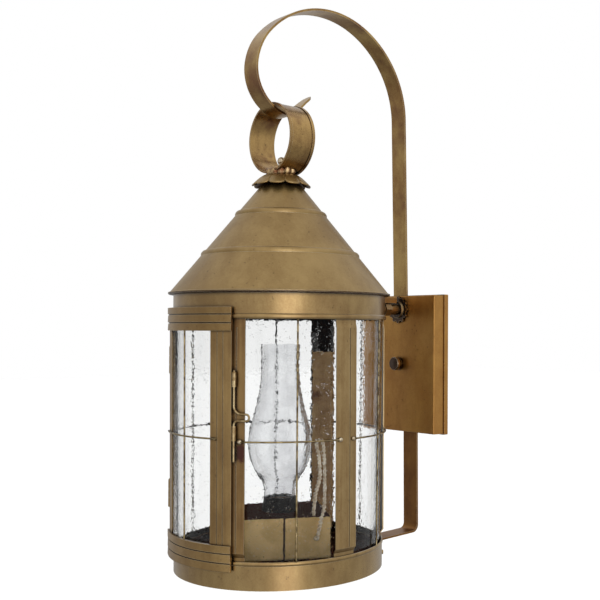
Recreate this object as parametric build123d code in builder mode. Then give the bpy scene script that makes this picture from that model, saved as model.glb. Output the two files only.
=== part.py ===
from build123d import *
from math import cos, radians, sin
import os

# Outdoor wall lantern: a round brass cage with a cone roof, hung in front of a wall plate by a
# hooked arm, a wiring pipe and a lower strap.
# Origin: centre of the wall plate's back face. +Z up, the wall is the plane Y = 0, the lantern
# stands out along -Y. Azimuths round the lantern count from its front (-Y) towards +X, in degrees.

# ---------------------------------------------------------------- driving dimensions (mm)
sheet = 1.0                 # brass sheet of the cage, band and base
reach = 205.3               # wall to lantern axis

plate_width = 124.2
plate_height = 169.0
plate_depth = 23.2          # wall to front of the cover
plate_sheet = 1.2
frame_depth = 6.4           # rear frame that the cover nests in
crossbar_size = (108.0, 2.0, 19.0)
box_opening = 74.0          # height of the frame's opening over the outlet box
slot_offset = 44.45         # half of the 88.9 mm spacing of outlet box screws
slot_radius = 2.3
slot_length = 14.0
stud_radius = 2.4
fit_gap = 0.05              # radial clearance of every turning pin
seat_gap = 0.1              # clearance of parts that are fitted and do not move

strap_width = 24.0
arm_width = 23.5
arm_thick = 2.6
strap_thick = 2.4

pipe_radius = 6.6
pipe_bore = 4.8
coupling_start = 42.0       # wall to the hexagon coupling
coupling_length = 9.0
pipe_height = 67.5          # above the plate's centre, in the middle of the top band

ring_radius = 39.8
ring_wall = 2.0
ring_length = 33.7
ring_height = 256.4

band_radius = 117.5
band_top = 79.5
band_bottom = 53.1
band_bead = 1.4
eave_radius = 122.3
eave_height = 81.5
roof_slope = 0.815          # growth of radius for each mm down
upper_bead = (174.6, 168.6)     # heights of the rolled beads where the roof's cones meet
middle_bead = (129.2, 123.2)
base_radius = 115.3
base_top = -192.8
base_bottom = -221.7
floor_top = -205.8

post_angle = 13.1           # angle that a post takes up
post_wall = 1.2
post_top_radius = band_radius - sheet - 0.1
post_bottom_radius = base_radius - sheet - 0.1
post_radii = {30: 116.9, 90: 117.5, 150: 117.5, 210: 117.5, 270: 117.5, 330: 116.9}  # by azimuth
rear_post_shift = -2.7      # the left rear post is set a little round, and is wider
rear_post_angle = 15.2
post_joggles = ((49.0, 44.5), (-184.5, -189.0))     # heights where a post steps out and back in
pane_azimuths = (60, 120, 180, 240, 300)
glass_wall = 2.2
wire_radius = 0.95
cross_height = -71.5        # height of the wire that runs round the cage
door_cross_height = -69.0

door_half_angle = 30.2
door_top = 65.0
door_bottom = -203.0
door_top_radius = 121.1     # outside of the stiles
door_bottom_radius = 119.5
stile_wall = 1.4
stile_angle = 11.9
top_rail = 24.5
bottom_rail = 26.6
hinge_azimuth = -31.5
hinge_radius = 119.4
latch_azimuth = 31.5
latch_radius = 120.0

chimney_seat = -160.0
chimney_top = 25.6
chimney_wall = 1.5
socket_radius = 18.5
box_top = -161.0
box_size = 100.0            # square, its face turned to the pane between the first two posts
box_azimuth = 60.0
lead_radius = 1.5
lead_hole = 2.4
# the lead's loop, by distances across and out from the lantern axis, square to the box, and heights
lead_turns = ((33.0, 40.0, -168.0), (33.0, 40.0, -150.0), (35.0, 42.4, -136.0), (39.6, 44.0, -117.7),
              (37.7, 46.0, -97.7), (32.6, 48.6, -78.0), (41.4, 53.6, -76.4), (42.6, 55.8, -112.0),
              (42.4, 56.6, -144.9), (34.5, 55.4, -184.0), (34.5, 46.5, -184.0))
lead_bends = (12, 12, 20, 14, 3.6, 3.6, 20, 20, 4)      # radius at each turn between the ends
channel_azimuth = 204.5
channel_width = 26.0
channel_depth = 7.0
channel_top = 15.4

cage_axis = Axis((0, -reach, 0), (0, 0, 1))


# ---------------------------------------------------------------- helpers
def radial_plane(azimuth):
    """Upright plane through the lantern axis: local x runs outwards, local y up."""
    a = radians(azimuth)
    return Plane((0, -reach, 0), x_dir=(sin(a), -cos(a), 0), z_dir=(-cos(a), -sin(a), 0))


def at(azimuth, radius, height):
    """Point at a given azimuth, distance from the lantern axis and height."""
    a = radians(azimuth)
    return Vector(radius * sin(a), -reach - radius * cos(a), height)


def round_about(plane_z, azimuth, radius):
    """Level plane centred on a point of the cage wall, local x outwards."""
    a = radians(azimuth)
    return Plane(at(azimuth, radius, plane_z), x_dir=(sin(a), -cos(a), 0), z_dir=(0, 0, 1))


def cage_radius(height):
    """Outer radius of the slightly tapered cage at a height."""
    share = (band_bottom - height) / (band_bottom - base_top)
    return post_top_radius + share * (post_bottom_radius - post_top_radius)


def door_radius(height):
    """Outer radius of the door's stiles at a height."""
    share = (door_top - height) / (door_top - door_bottom)
    return door_top_radius + share * (door_bottom_radius - door_top_radius)


def sheet_wall(radius_at, wall, high, low, first, last, outwards=0.0, mode=Mode.ADD):
    """Leaning sheet wall that follows the cage or the door between two azimuths."""
    with BuildSketch(radial_plane(first)) as section:
        Polygon(
            (radius_at(high) + outwards, high),
            (radius_at(low) + outwards, low),
            (radius_at(low) + outwards - wall, low),
            (radius_at(high) + outwards - wall, high),
            align=None,
        )
    revolve(section.sketch, axis=cage_axis, revolution_arc=last - first, mode=mode)


def upright_wire(azimuth, radius_at, high, low, stand):
    """Round wire that follows the lean of the cage or the door."""
    top, foot = at(azimuth, radius_at(high) + stand, high), at(azimuth, radius_at(low) + stand, low)
    run = Edge.make_line(top, foot)
    with BuildSketch(Plane(top, z_dir=run % 0)) as section:
        Circle(wire_radius)
    sweep(section.sketch, path=run)


def level_wire(first, last, radius, height):
    """Round wire bent along the wall between two azimuths."""
    with BuildSketch(radial_plane(first)) as section:
        with Locations((radius, height)):
            Circle(wire_radius)
    revolve(section.sketch, axis=cage_axis, revolution_arc=last - first)


def wall_rivet(azimuth, radius, height, head, rise):
    """Low rivet head that stands on a round wall."""
    a = radians(azimuth)
    with BuildSketch(Plane(at(azimuth, radius, height), z_dir=(sin(a), -cos(a), 0))) as section:
        Circle(head)
    extrude(section.sketch, amount=rise, taper=24)


def save(builder, label):
    builder.part.label = label
    export_step(builder.part, f"parts/{label}.step")


os.makedirs("parts", exist_ok=True)

# ---------------------------------------------------------------- wall plate
cover_depth = plate_depth - 4.0
arm_y = -plate_depth + plate_sheet + arm_thick / 2 + seat_gap      # middle of the hooked arm's strap
with BuildPart() as wall_cover:
    with BuildSketch(Plane.XZ.offset(plate_depth)):
        Rectangle(plate_width, plate_height)
    extrude(amount=-cover_depth)
    offset(amount=-plate_sheet, openings=wall_cover.faces().sort_by(Axis.Y)[-1])
    with BuildSketch(Plane.XZ.offset(plate_depth + 1)):
        Circle(stud_radius + 3 * seat_gap)
        with Locations((0, pipe_height)):
            Circle(pipe_radius + seat_gap)
    extrude(amount=-4, mode=Mode.SUBTRACT)
    arm_slot = Pos(0, arm_y, plate_height / 2) * Box(
        arm_width + 0.4, arm_thick + 0.2, 8, mode=Mode.PRIVATE
    )
    add(arm_slot, mode=Mode.SUBTRACT)
    fillet(wall_cover.faces().sort_by(Axis.Y)[0].outer_wire().edges(), 0.9)
save(wall_cover, "wall_cover")

with BuildPart() as rear_frame:
    with BuildSketch(Plane.XZ):
        Rectangle(plate_width + 2.6, plate_height + 2.6)
    extrude(amount=frame_depth)
    offset(amount=-plate_sheet, openings=rear_frame.faces().sort_by(Axis.Y)[0])
    with BuildSketch(Plane.XZ):
        RectangleRounded(crossbar_size[0] + 4, box_opening, 6)
    extrude(amount=frame_depth, mode=Mode.SUBTRACT)
    strap_slot = Pos(0, -plate_sheet - strap_thick / 2, -plate_height / 2) * Box(
        strap_width + 0.4, strap_thick + 0.1, 8, mode=Mode.PRIVATE
    )
    add(strap_slot, mode=Mode.SUBTRACT)
    fillet(rear_frame.edges().filter_by(Axis.Y).group_by(SortBy.LENGTH)[-1], 1.0)
save(rear_frame, "rear_frame")

with BuildPart() as crossbar:
    with BuildSketch(Plane.XZ):
        RectangleRounded(crossbar_size[0], crossbar_size[2], 3)
        Circle(stud_radius, mode=Mode.SUBTRACT)
        with Locations((-slot_offset, 0), (slot_offset, 0)):
            SlotOverall(slot_length, 2 * slot_radius, mode=Mode.SUBTRACT)
    extrude(amount=crossbar_size[1])
save(crossbar, "crossbar")

with BuildPart() as centre_stud:
    with BuildSketch(Plane.XZ):
        Circle(stud_radius)
    extrude(amount=plate_depth + 7.5)
save(centre_stud, "centre_stud")

nut_base = plate_depth + 0.3
with BuildPart() as thumb_nut:
    with BuildSketch(Plane.XY):
        with BuildLine():
            Polyline(
                (stud_radius + fit_gap, -nut_base),
                (6.6, -nut_base),
                (7.0, -nut_base - 0.5),
                (7.0, -nut_base - 1.7),
                (5.2, -nut_base - 2.2),
                (5.2, -nut_base - 3.8),
                (7.6, -nut_base - 4.4),
                (8.3, -nut_base - 5.1),
                (8.3, -nut_base - 8.4),
                (7.6, -nut_base - 9.2),
                (0, -nut_base - 9.6),
                (0, -plate_depth - 8.2),
                (stud_radius + fit_gap, -plate_depth - 8.2),
                close=True,
            )
        make_face()
    revolve(axis=Axis.Y)
save(thumb_nut, "thumb_nut")

# ---------------------------------------------------------------- wiring pipe and its nuts
pipe_plane = Plane((0, 0, pipe_height), x_dir=(1, 0, 0), z_dir=(0, -1, 0))
rosette_teeth = 12
rosette_radius = 14.6
with BuildPart() as rosette_nut:
    with BuildSketch(pipe_plane.offset(plate_depth)):
        Circle(rosette_radius)
        with PolarLocations(rosette_radius, rosette_teeth):
            Circle(2.2)
    extrude(amount=2.6)
    with BuildSketch(pipe_plane.offset(plate_depth + 2.6)):
        Circle(10.8)
    extrude(amount=2.4, taper=18)
    with BuildSketch(pipe_plane.offset(plate_depth)):
        Circle(pipe_radius)
    extrude(amount=6, mode=Mode.SUBTRACT)
save(rosette_nut, "rosette_nut")

nut_radius = 9.0
nut_flat = nut_radius * cos(radians(30))
pipe_start = 11.0
pipe_end = reach - band_radius + 7.0
with BuildPart() as wiring_pipe:
    with BuildSketch(pipe_plane.offset(pipe_start)):
        Circle(pipe_radius)
        Circle(pipe_bore, mode=Mode.SUBTRACT)
    extrude(amount=pipe_end - pipe_start)
save(wiring_pipe, "wiring_pipe")

with BuildPart() as pipe_coupling:
    with BuildSketch(pipe_plane.offset(coupling_start)):
        RegularPolygon(nut_radius, 6)
        Circle(pipe_radius, mode=Mode.SUBTRACT)
    extrude(amount=coupling_length)
save(pipe_coupling, "pipe_coupling")

nut_thick = 3.2
back_of_band = reach - band_radius
with BuildPart() as pipe_locknuts:
    nut_starts = (
        plate_depth - plate_sheet - arm_thick - 0.2 - nut_thick,
        back_of_band - 0.3 - nut_thick,
        back_of_band + sheet + 0.5,
    )
    for start in nut_starts:
        with BuildSketch(pipe_plane.offset(start)):
            RegularPolygon(nut_radius, 6)
            Circle(pipe_radius, mode=Mode.SUBTRACT)
        extrude(amount=nut_thick)
save(pipe_locknuts, "pipe_locknuts")

# bar that lies on the coupling and steps down to pass under the eave
stay_foot = pipe_height + nut_flat + 0.05
with BuildPart() as pipe_stay:
    with BuildSketch(Plane.YZ):
        Polygon(
            (-33.5, stay_foot),
            (-33.5, stay_foot + 7.2),
            (-80.5, stay_foot + 7.2),
            (-80.5, band_top - 0.3),
            (-back_of_band + 0.2, band_top - 0.3),
            (-back_of_band + 0.2, stay_foot),
            align=None,
        )
    extrude(amount=6.5, both=True)
save(pipe_stay, "pipe_stay")

# ---------------------------------------------------------------- hooked arm
with BuildPart() as hook_arm:
    with BuildSketch(Plane.YZ):
        with BuildLine():
            Line((arm_y, pipe_height - 14), (arm_y, 88))
            upright = Line((arm_y, 88), (-25.5, 303.5))
            rise = TangentArc(upright @ 1, (-52.0, 372.9), tangent=upright % 1)
            crest = TangentArc(rise @ 1, (-134.3, 413.4), tangent=rise % 1)
            fall = TangentArc(crest @ 1, (-230.0, 373.0), tangent=crest % 1)
            curl = TangentArc(fall @ 1, (-246.4, 338.0), tangent=fall % 1)
            cradle = TangentArc(curl @ 1, (-212.0, 284.2), tangent=curl % 1)
            # the rear of the cradle carries the ring's back edge
            seat = TangentArc(cradle @ 1, (-188.5, 291.0), tangent=cradle % 1)
            TangentArc(seat @ 1, (-166.0, 310.5), tangent=seat % 1)
        trace(line_width=arm_thick)
    extrude(amount=arm_width / 2, both=True)
    with BuildSketch(pipe_plane):
        Circle(pipe_radius + seat_gap)
    extrude(amount=40, mode=Mode.SUBTRACT)
    # the strap narrows to a rounded tip past the cradle
    with BuildSketch(Plane.XY.offset(250)):
        with BuildLine():
            Polyline((-13, -155), (13, -155), (13, -202), (11.8, -202), (7.2, -171.6), (4.6, -168.0),
                     (1.8, -166.6), (-1.8, -166.6), (-4.6, -168.0), (-7.2, -171.6), (-11.8, -202),
                     (-13, -202), close=True)
        make_face()
    extrude(amount=75, mode=Mode.SUBTRACT)
save(hook_arm, "hook_arm")

# ---------------------------------------------------------------- lower strap
strap_back = -plate_sheet - strap_thick / 2
back_of_base = -reach + base_radius
strap_foot = back_of_base + 0.05 + strap_thick / 2     # middle of the foot that lies on the base ring
with BuildPart() as lower_strap:
    with BuildSketch(Plane.YZ):
        with BuildLine():
            FilletPolyline(
                (strap_back, -62),
                (strap_back, -96),
                (-strap_thick / 2 - 0.1, -210.6),
                (strap_foot, -214.2),
                (strap_foot, -200.5),
                radius=(200, 8, 3),
            )
        trace(line_width=strap_thick)
    extrude(amount=strap_width / 2, both=True)
save(lower_strap, "lower_strap")

# ---------------------------------------------------------------- hanging ring, collar and roof
hem = 3.4
hem_step = 0.9
with BuildPart() as hanging_ring:
    with BuildSketch(Plane.YZ):
        with BuildLine():
            half = ring_length / 2
            Polyline(
                (-reach - half, ring_height + ring_radius),
                (-reach - half + hem, ring_height + ring_radius),
                (-reach - half + hem, ring_height + ring_radius - hem_step),
                (-reach + half - hem, ring_height + ring_radius - hem_step),
                (-reach + half - hem, ring_height + ring_radius),
                (-reach + half, ring_height + ring_radius),
                (-reach + half, ring_height + ring_radius - ring_wall),
                (-reach - half, ring_height + ring_radius - ring_wall),
                close=True,
            )
        make_face()
    revolve(axis=Axis((0, 0, ring_height), (0, 1, 0)))
    with BuildSketch(Plane((0, -reach, ring_height))):
        Circle(2.6)
    extrude(amount=-ring_radius - 1, mode=Mode.SUBTRACT)
save(hanging_ring, "hanging_ring")

ring_low = ring_height - ring_radius
ring_floor = ring_low + ring_wall
roof_top = 207.5
roof_cap = 1.4
bolt_foot = roof_top - roof_cap - 3.4
with BuildPart() as ring_bolt:
    with BuildSketch(Plane((0, -reach, bolt_foot))):
        Circle(2.5)
    extrude(amount=ring_floor + 8 - bolt_foot)
    with BuildSketch(Plane((0, -reach, bolt_foot))):
        RegularPolygon(5.5, 6)
    extrude(amount=3.4)
save(ring_bolt, "ring_bolt")

ball = 4.6
ball_height = ring_floor + 13.6
washer = ring_floor + 0.7
with BuildPart() as cap_nut:
    with BuildSketch(radial_plane(0)):
        Polygon(
            (2.5, washer),
            (7.0, washer),
            (6.6, washer + 1.7),
            (4.4, washer + 2.0),
            (4.4, washer + 7.4),
            (3.4, washer + 9.6),
            (0, washer + 9.6),
            (0, washer + 7.4),
            (2.5, washer + 7.4),
            align=None,
        )
    revolve(axis=cage_axis)
    with Locations((0, -reach, ball_height)):
        Sphere(ball)
save(cap_nut, "cap_nut")

petals = 12
collar_radius = 33.4
collar_low = 203.2
collar_flat = ring_low - 0.1
with BuildPart() as crown_collar:
    with BuildSketch(radial_plane(0)):
        with BuildLine():
            Line((2.6, collar_flat), (17.0, collar_flat))
            ThreePointArc((17.0, collar_flat), (27.0, collar_flat - 4.6), (collar_radius, collar_low))
            Line((collar_radius, collar_low), (collar_radius - 0.9, collar_low - 0.6))
            ThreePointArc((collar_radius - 0.9, collar_low - 0.6), (26.2, collar_flat - 5.7),
                          (17.0, collar_flat - 1.1))
            Line((17.0, collar_flat - 1.1), (2.6, collar_flat - 1.1))
            Line((2.6, collar_flat - 1.1), (2.6, collar_flat))
        make_face()
    revolve(axis=cage_axis)
    # notches between the petals
    with BuildSketch(Plane((0, -reach, 190))):
        with PolarLocations(collar_radius + 1.2, petals):
            Circle(3.4)
    extrude(amount=40, mode=Mode.SUBTRACT)
save(crown_collar, "crown_collar")


def roof_line(height):
    """Outer radius of the roof cone at a height."""
    return eave_radius - roof_slope * (height - eave_height)


def roof_cone(high, bead_high, bead_low):
    """Sheet cone from a height down to a rolled bead."""
    with BuildSketch(radial_plane(0)) as section:
        with BuildLine():
            Line((roof_line(high), high), (roof_line(bead_high), bead_high))
            ThreePointArc(
                (roof_line(bead_high), bead_high),
                (roof_line((bead_high + bead_low) / 2) + 1.9, (bead_high + bead_low) / 2 + 0.4),
                (roof_line(bead_low), bead_low),
            )
            Polyline(
                (roof_line(bead_low), bead_low),
                (roof_line(bead_low) - 1.2 * sheet, bead_low),
                (roof_line(high) - 1.2 * sheet, high),
                (roof_line(high), high),
            )
        make_face()
    revolve(section.sketch, axis=cage_axis)


with BuildPart() as roof_upper:
    roof_cone(roof_top, *upper_bead)
    # flat top that the collar and the bolt are drawn down on
    with BuildSketch(Plane((0, -reach, roof_top - roof_cap))):
        Circle(roof_line(roof_top))
        Circle(2.6, mode=Mode.SUBTRACT)
    extrude(amount=roof_cap)
save(roof_upper, "roof_upper")

with BuildPart() as roof_spacer:
    with BuildSketch(Plane((0, -reach, roof_top))):
        Circle(14)
        Circle(2.6, mode=Mode.SUBTRACT)
    extrude(amount=collar_flat - 1.1 - roof_top)
save(roof_spacer, "roof_spacer")

with BuildPart() as roof_middle:
    roof_cone(upper_bead[1], *middle_bead)
save(roof_middle, "roof_middle")

with BuildPart() as roof_lower:
    with BuildSketch(radial_plane(0)):
        with BuildLine():
            Polyline(
                (roof_line(middle_bead[1]), middle_bead[1]),
                (roof_line(eave_height + 1.6), eave_height + 1.6),
                (eave_radius + 0.9, eave_height + 0.9),
                (eave_radius + 1.0, eave_height - 0.7),
                (eave_radius, eave_height - 1.6),
                (band_radius - 2.0, band_top),
                (band_radius - 2.0, band_top + 1.0),
                (eave_radius - 2.6, eave_height - 0.3),
                (roof_line(middle_bead[1]) - 1.2 * sheet, middle_bead[1]),
                close=True,
            )
        make_face()
    revolve(axis=cage_axis)
save(roof_lower, "roof_lower")

# ---------------------------------------------------------------- top band and base
with BuildPart() as top_band:
    with BuildSketch(Plane((0, -reach, band_bottom))):
        Circle(band_radius)
        Circle(band_radius - sheet, mode=Mode.SUBTRACT)
    extrude(amount=band_top - band_bottom)
    with BuildSketch(pipe_plane.offset(back_of_band - 5)):
        Circle(pipe_radius + seat_gap)
    extrude(amount=10, mode=Mode.SUBTRACT)
save(top_band, "top_band")

with BuildPart() as band_bead_ring:
    with BuildSketch(radial_plane(0)):
        with BuildLine():
            Line((band_radius, band_bottom), (band_radius, band_bottom + 5.3))
            ThreePointArc(
                (band_radius, band_bottom + 5.3),
                (band_radius + band_bead, band_bottom + 2.4),
                (band_radius + 0.6, band_bottom),
            )
            Line((band_radius + 0.6, band_bottom), (band_radius, band_bottom))
        make_face()
    revolve(axis=cage_axis)
save(band_bead_ring, "band_bead")

with BuildPart() as base_ring:
    with BuildSketch(radial_plane(0)):
        with BuildLine():
            Line((base_radius - sheet, base_top), (base_radius, base_top))
            ThreePointArc((base_radius, base_top), (base_radius + 0.9, base_top - 2.1),
                          (base_radius, base_top - 4.2))
            Polyline(
                (base_radius, base_top - 4.2),
                (base_radius, base_bottom),
                (base_radius - sheet, base_bottom),
                (base_radius - sheet, base_top),
            )
        make_face()
    revolve(axis=cage_axis)
save(base_ring, "base_ring")

with BuildPart() as base_floor:
    with BuildSketch(radial_plane(0)):
        with BuildLine():
            rim = post_bottom_radius - post_wall - glass_wall - 1.6
            Polyline((0, floor_top), (rim, floor_top), (rim, floor_top + 7), (rim + 1, floor_top + 7),
                     (rim + 1, floor_top - 1.2), (base_radius - sheet, floor_top - 1.2),
                     (base_radius - sheet, floor_top - 2.4), (0, floor_top - 2.4), close=True)
        make_face()
    revolve(axis=cage_axis)
save(base_floor, "base_floor")

# ---------------------------------------------------------------- cage posts
post_high = band_bottom + 8
post_low = floor_top - 1.2
(step_high, step_out), (step_in, step_low) = post_joggles


def post_line(radius, inset):
    """Points down one side of a post, whose ends tuck in behind the band and the base."""
    ends = [(cage_radius(height), height) for height in (post_high, step_high, step_low, post_low)]
    points = ends[:2] + [(radius, step_out), (radius, step_in)] + ends[2:]
    return [(x - inset, y) for x, y in points]


for number, (azimuth, radius) in enumerate(post_radii.items(), start=1):
    angle = post_angle
    if number == 4:
        azimuth, angle = azimuth + rear_post_shift, rear_post_angle
    first, last = azimuth - angle / 2, azimuth + angle / 2
    fold = azimuth + 0.14 * post_angle
    with BuildPart() as post:
        with BuildSketch(radial_plane(first)) as section:
            Polygon(*post_line(radius, 0), *reversed(post_line(radius, post_wall)), align=None)
        revolve(section.sketch, axis=cage_axis, revolution_arc=last - first)
        # the fold line that runs down the strip
        with BuildSketch(radial_plane(fold)) as groove:
            with Locations((radius, (step_out + step_in) / 2)):
                Rectangle(0.9, step_out - step_in - 1)
        revolve(groove.sketch, axis=cage_axis, revolution_arc=0.45, mode=Mode.SUBTRACT)
    save(post, f"post_{number}")

# ---------------------------------------------------------------- fixed glass
pane_names = ("right_front", "right_rear", "rear", "left_rear", "left_front")
glass_out = -post_wall - 0.1
for azimuth, place in zip(pane_azimuths, pane_names):
    with BuildPart() as pane:
        sheet_wall(cage_radius, glass_wall, band_bottom + 4, floor_top - 1.1, azimuth - 29.6,
                   azimuth + 29.6, outwards=glass_out)
    save(pane, f"glass_{place}")

# ---------------------------------------------------------------- guard wires of the fixed panes
wire_azimuths = (62.6, 119.0, 177.2, 236.8, 295.6)
level_stand = max(post_radii.values()) + wire_radius + 0.05
wire_stand = level_stand - 2 * wire_radius + 0.05 - cage_radius(cross_height)
with BuildPart() as upright_wires:
    for azimuth in wire_azimuths:
        upright_wire(azimuth, cage_radius, band_bottom, base_top + 0.05, wire_stand)
save(upright_wires, "upright_wires")

with BuildPart() as level_wires:
    for azimuth in pane_azimuths:
        level_wire(azimuth - 25.3, azimuth + 25.3, level_stand, cross_height)
save(level_wires, "level_wires")

with BuildPart() as wire_rivets:
    for azimuth in pane_azimuths:
        for side in (-1, 1):
            foot = post_radii[(azimuth + side * 30) % 360] - 0.05
            rise = level_stand + wire_radius - 0.15 - foot
            wall_rivet(azimuth + side * 25.9, foot, cross_height, 2.0, rise)
save(wire_rivets, "wire_rivets")

# ---------------------------------------------------------------- door
rail_wall = 2.2


def door_rail(high, low):
    """Three stepped strips of sheet that bridge the door, with deep lines between them."""
    face = [(0, high)]
    for share, depth in ((0.69, 1.4), (0.33, 1.5)):
        groove = low + (high - low) * share
        face += [(0, groove + 0.9), (depth, groove + 0.4), (depth, groove - 0.3), (0.4, groove - 0.5)]
    face += [(0, low + 1.0), (0.3, low)]
    with BuildSketch(radial_plane(-door_half_angle)) as section:
        Polygon(
            (door_radius(high), high),
            *[(door_radius(height) + rail_wall - depth, height) for depth, height in face],
            (door_radius(low), low),
            align=None,
        )
    revolve(section.sketch, axis=cage_axis, revolution_arc=2 * door_half_angle)


inner_half_angle = door_half_angle - stile_angle - 0.05
rail_spans = {"door_top_rail": (door_top, door_top - top_rail),
              "door_bottom_rail": (door_bottom + bottom_rail, door_bottom)}
for label, (high, low) in rail_spans.items():
    with BuildPart() as rail:
        door_rail(high, low)
        sheet_wall(door_radius, stile_wall, high, low, -inner_half_angle, inner_half_angle)
    save(rail, label)

lip_high = band_bottom - 1.0
lip_low = base_top + 1.0
lip_radius = post_radii[30] + 0.4
stile_spans = {"door_latch_stile": (door_half_angle - stile_angle, door_half_angle),
               "door_hinge_stile": (-door_half_angle + 1.2, -door_half_angle + stile_angle)}
for label, (first, last) in stile_spans.items():
    with BuildPart() as stile:
        sheet_wall(door_radius, stile_wall, door_top - 0.4, door_bottom + 0.4, first, last)
        # two fold lines down the strip
        for share in (0.32, 0.6):
            fold = first + share * (last - first)
            sheet_wall(door_radius, 0.5, door_top - top_rail - 0.1, door_bottom + bottom_rail + 0.1,
                       fold, fold + 0.4, outwards=0.1, mode=Mode.SUBTRACT)
        if last > 0:
            # return lip that closes the gap to the cage on the latch side
            with BuildSketch(radial_plane(last - 0.65)) as section:
                Polygon(
                    (door_radius(lip_high) - 0.2, lip_high),
                    (door_radius(lip_low) - 0.2, lip_low),
                    (lip_radius, lip_low),
                    (lip_radius, lip_high),
                    align=None,
                )
            revolve(section.sketch, axis=cage_axis, revolution_arc=0.65)
    save(stile, label)

door_pane_angle = door_half_angle - 7.6
with BuildPart() as door_glass:
    sheet_wall(door_radius, glass_wall, door_top - top_rail + 6, door_bottom + bottom_rail - 8,
               -door_pane_angle, door_pane_angle, outwards=-stile_wall - 0.1)
save(door_glass, "door_glass")

with BuildPart() as door_upright_wire:
    upright_wire(-1.2, door_radius, door_top - top_rail, door_bottom + bottom_rail, -0.4)
save(door_upright_wire, "door_upright_wire")

door_level_radius = door_radius(door_cross_height) + wire_radius + 0.05
with BuildPart() as door_level_wire:
    level_wire(-28.4, 21.4, door_level_radius, door_cross_height)
    wall_rivet(21.4, door_level_radius - wire_radius - 0.1, door_cross_height, 2.0, 1.9)
save(door_level_wire, "door_level_wire")

# ---------------------------------------------------------------- door hinges
hinge_heights = (8.0, -138.0)
knuckle = 9.6
knuckle_gap = 0.3
barrel_radius = 2.1
pin_radius = 1.2

with BuildPart() as frame_knuckles:
    for height in hinge_heights:
        for step in (-1, 1):
            centre = height + step * (knuckle + knuckle_gap)
            with BuildSketch(round_about(centre - knuckle / 2, hinge_azimuth, hinge_radius)):
                Circle(barrel_radius)
                foot = post_radii[330] + 0.02 - hinge_radius
                with Locations((foot / 2, 0)):
                    Rectangle(-foot, 3.2)
                Circle(pin_radius, mode=Mode.SUBTRACT)
            extrude(amount=knuckle)
save(frame_knuckles, "frame_knuckles")

leaf_reach = hinge_radius * sin(radians(-door_half_angle + 1.2 - hinge_azimuth)) - 0.02
with BuildPart() as door_knuckles:
    for height in hinge_heights:
        with BuildSketch(round_about(height - knuckle / 2, hinge_azimuth, hinge_radius)):
            Circle(barrel_radius)
            leaf = door_radius(height) - stile_wall / 2 - hinge_radius - 0.1
            with Locations((leaf, leaf_reach / 2)):
                Rectangle(stile_wall, leaf_reach)
            Circle(pin_radius + fit_gap, mode=Mode.SUBTRACT)
        extrude(amount=knuckle)
save(door_knuckles, "door_knuckles")

with BuildPart() as hinge_pins:
    for height in hinge_heights:
        half = 1.5 * knuckle + knuckle_gap
        with BuildSketch(round_about(height - half - 0.6, hinge_azimuth, hinge_radius)):
            Circle(pin_radius)
        extrude(amount=2 * half + 0.6)
        with BuildSketch(round_about(height + half, hinge_azimuth, hinge_radius)):
            Circle(1.9)
        extrude(amount=1.2, taper=20)
save(hinge_pins, "hinge_pins")

# ---------------------------------------------------------------- door latch
tube_spans = ((-1.0, -16.0), (-55.5, -70.4))
tube_radius = 2.2
latch_wire_radius = 1.1
with BuildPart() as latch_tubes:
    for high, low in tube_spans:
        with BuildSketch(round_about(low, latch_azimuth, latch_radius)):
            Circle(tube_radius)
            foot = post_radii[30] + 0.02 - latch_radius
            with Locations((foot / 2, 0)):
                Rectangle(-foot, 2.6)
            Circle(latch_wire_radius + fit_gap, mode=Mode.SUBTRACT)
        extrude(amount=high - low)
save(latch_tubes, "latch_tubes")

latch_plane = Plane(at(latch_azimuth, latch_radius, 0),
                    x_dir=(cos(radians(latch_azimuth)), sin(radians(latch_azimuth)), 0),
                    z_dir=(sin(radians(latch_azimuth)), -cos(radians(latch_azimuth)), 0))
with BuildPart() as latch_wire:
    with BuildLine(latch_plane) as latch_path:
        FilletPolyline((0, 0.6), (0, -43.4), (16.6, -43.4), (16.6, -50.2), (0, -50.2), (0, -91.5),
                       radius=(8.0, 3.3, 3.3, 4.6))
    with BuildSketch(Plane(latch_path.line @ 0, z_dir=latch_path.line % 0)):
        Circle(latch_wire_radius)
    sweep()
save(latch_wire, "latch_wire")

# ---------------------------------------------------------------- lamp base
box_outwards = Vector(sin(radians(box_azimuth)), -cos(radians(box_azimuth)), 0)
box_across = Vector(cos(radians(box_azimuth)), sin(radians(box_azimuth)), 0)


def box_point(across, out, height):
    """Point by its distances across and out from the lantern axis, square to the socket box."""
    return Vector(0, -reach, height) + across * box_across + out * box_outwards


with BuildPart() as socket_box:
    with BuildSketch(Plane((0, -reach, floor_top), x_dir=box_across)):
        Rectangle(box_size, box_size)
    extrude(amount=box_top - floor_top)
    offset(amount=-sheet, openings=socket_box.faces().sort_by(Axis.Z)[0])
    with BuildSketch(Plane((0, -reach, box_top - 5))):
        Circle(16.2)
    extrude(amount=10, mode=Mode.SUBTRACT)
    # holes for the lead, and the seam down the middle of the face
    across, out, _ = lead_turns[0]
    with BuildSketch(Plane(box_point(across, out, box_top - 4))):
        Circle(lead_hole)
    extrude(amount=8, mode=Mode.SUBTRACT)
    across, _, height = lead_turns[-1]
    with BuildSketch(Plane(box_point(across, box_size / 2 - 4, height), z_dir=box_outwards)):
        Circle(lead_hole)
    extrude(amount=8, mode=Mode.SUBTRACT)
    with BuildSketch(Plane(box_point(0, box_size / 2, floor_top), x_dir=box_across)):
        Rectangle(1.4, 1.0)
    extrude(amount=box_top - floor_top, mode=Mode.SUBTRACT)
save(socket_box, "socket_box")

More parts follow.
